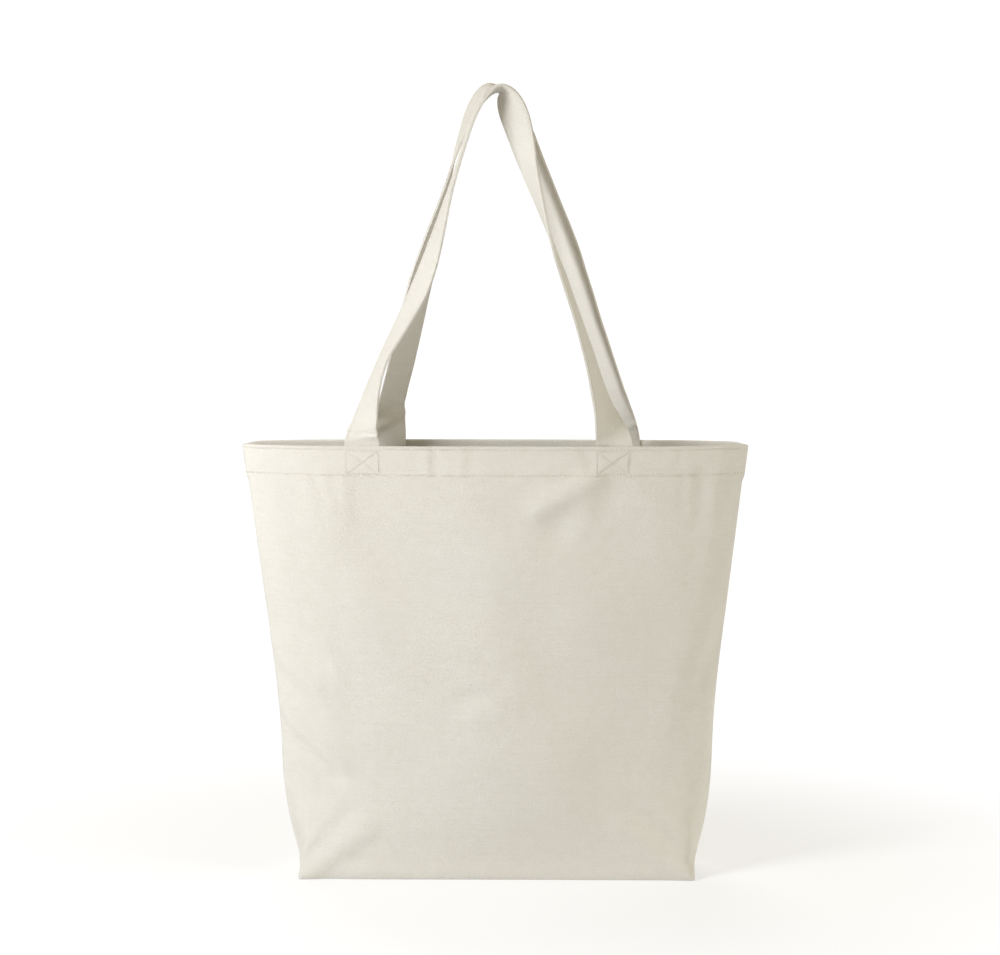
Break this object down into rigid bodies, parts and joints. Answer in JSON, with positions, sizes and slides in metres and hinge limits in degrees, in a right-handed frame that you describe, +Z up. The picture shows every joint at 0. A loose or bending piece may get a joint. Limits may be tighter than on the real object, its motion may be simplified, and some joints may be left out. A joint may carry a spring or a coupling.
{
  "type": "canvas tote bag",
  "caption": "Open-topped cloth shopping bag with a boxed bottom, a wide turned-in hem and a pair of tall carrying loops sewn inside the rim.",
  "frame": {"origin": "centre of the underside of the base", "axes": "+X along the mouth from the left side seam to the right one, +Y from front to back, +Z up"},
  "size_m": [0.4592, 0.102, 0.7131],
  "materials": {
    "canvas": "matt plain weave",
    "strap_canvas": "matt plain weave, folded in layers",
    "thread": "matt spun thread"
  },
  "bodies": {
    "bag": {"front_panel": "canvas", "back_panel": "canvas", "front_handle_left_end": "strap_canvas", "front_handle_right_end": "strap_canvas", "back_handle_left_end": "strap_canvas", "back_handle_right_end": "strap_canvas", "rim_stitching": "thread", "hem_stitching": "thread", "right_side_overlock": "thread", "left_side_overlock": "thread", "right_side_seam_thread": "thread", "left_side_seam_thread": "thread", "bottom_overlock": "thread", "right_corner_overlock": "thread", "left_corner_overlock": "thread", "front_left_box_stitch": "thread", "front_right_box_stitch": "thread", "back_left_box_stitch": "thread", "back_right_box_stitch": "thread"},
    "front_handle": {"front_handle": "strap_canvas", "front_handle_edge_stitching": "thread"},
    "back_handle": {"back_handle": "strap_canvas", "back_handle_edge_stitching": "thread"}
  },
  "joints": [
    {"name": "front_handle_fold", "type": "hinge", "parent": "bag", "child": "front_handle", "pos_m": [0, -0.024, 0.392], "axis": [1, 0, 0], "range_deg": [0, 154]},
    {"name": "back_handle_fold", "type": "hinge", "parent": "bag", "child": "back_handle", "pos_m": [0, 0.024, 0.392], "axis": [-1, 0, 0], "range_deg": [0, 154]}
  ]
}
